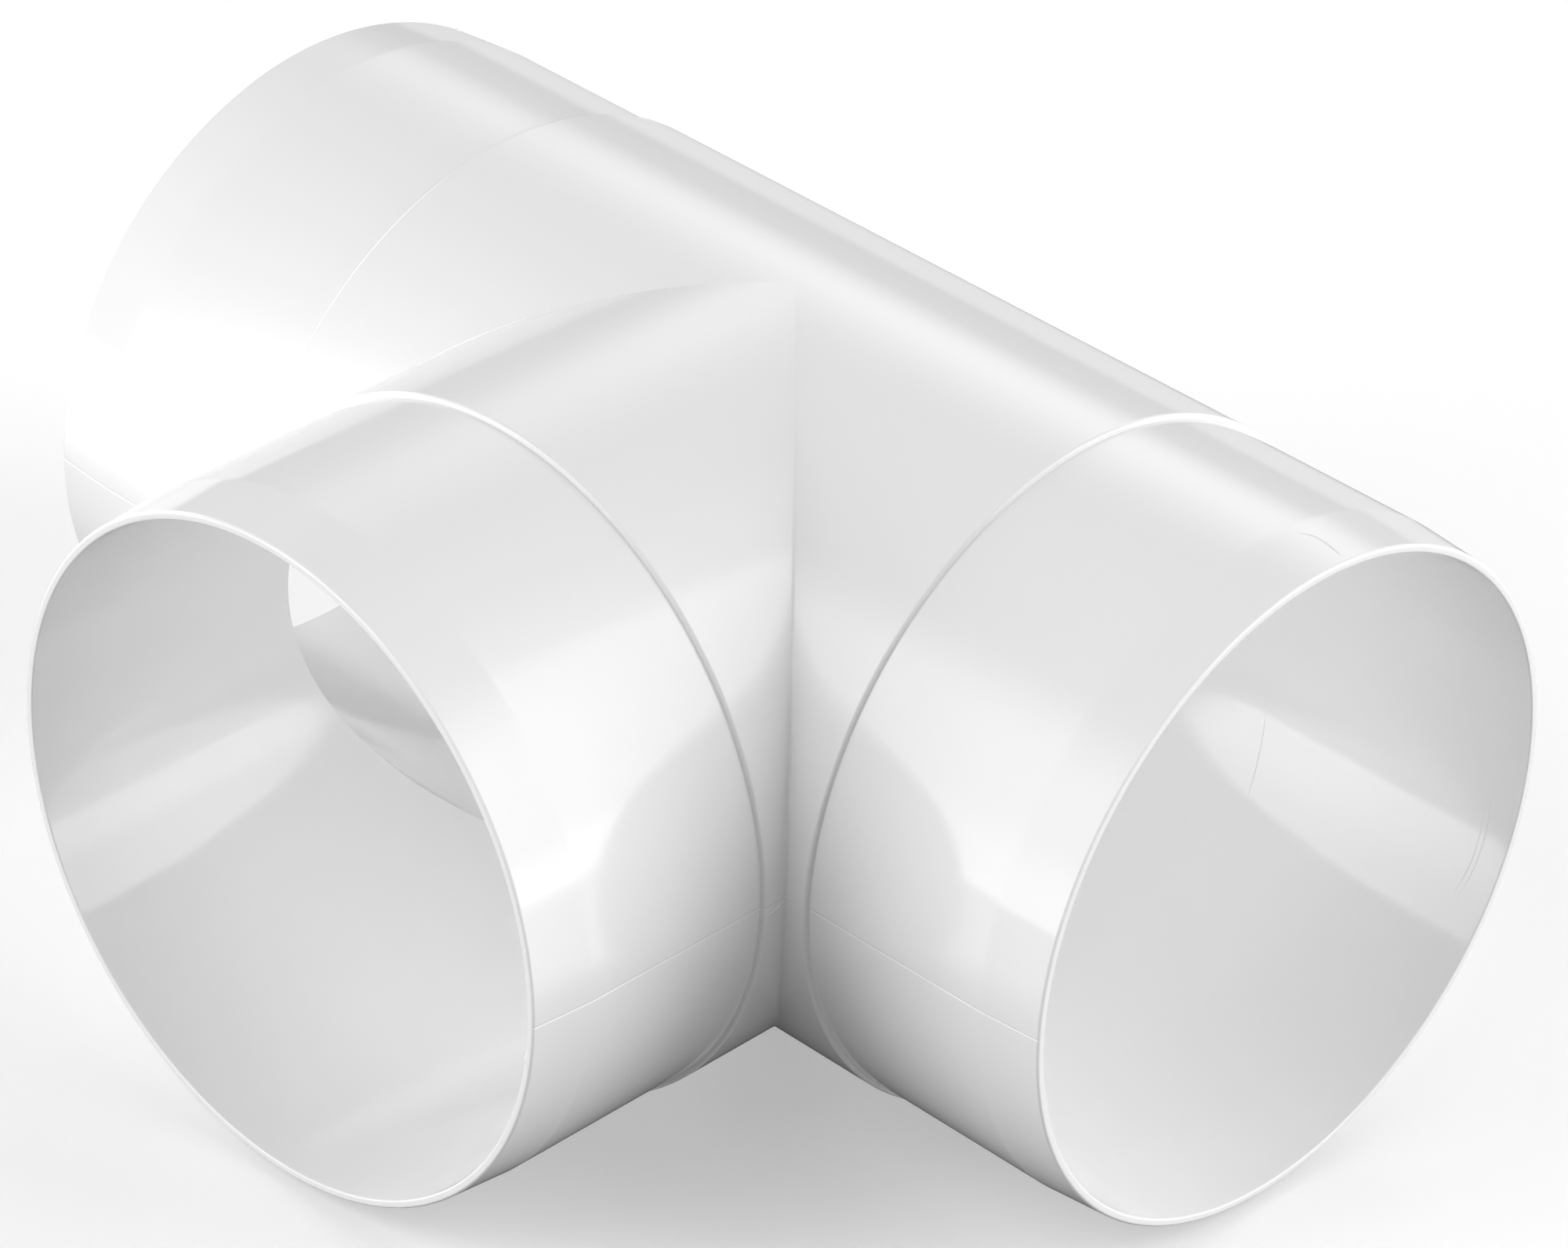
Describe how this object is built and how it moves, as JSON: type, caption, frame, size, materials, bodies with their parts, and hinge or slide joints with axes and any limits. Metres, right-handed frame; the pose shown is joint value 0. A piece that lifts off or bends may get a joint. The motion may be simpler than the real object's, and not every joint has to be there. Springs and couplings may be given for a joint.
{
  "type": "duct tee",
  "caption": "Equal tee for round ventilation duct: a straight run and a square branch, each arm a tapered spigot with a stop shoulder, moulded in one glossy white piece.",
  "frame": {"origin": "where the axis of the run and the axis of the branch cross", "axes": "+X along the run, -Y along the branch towards its rim, +Z square to both"},
  "size_m": [0.188, 0.1445, 0.101],
  "materials": {
    "white_plastic": "glossy injection-moulded white plastic"
  },
  "bodies": {
    "root": {"duct_tee": "white_plastic"}
  },
  "joints": []
}
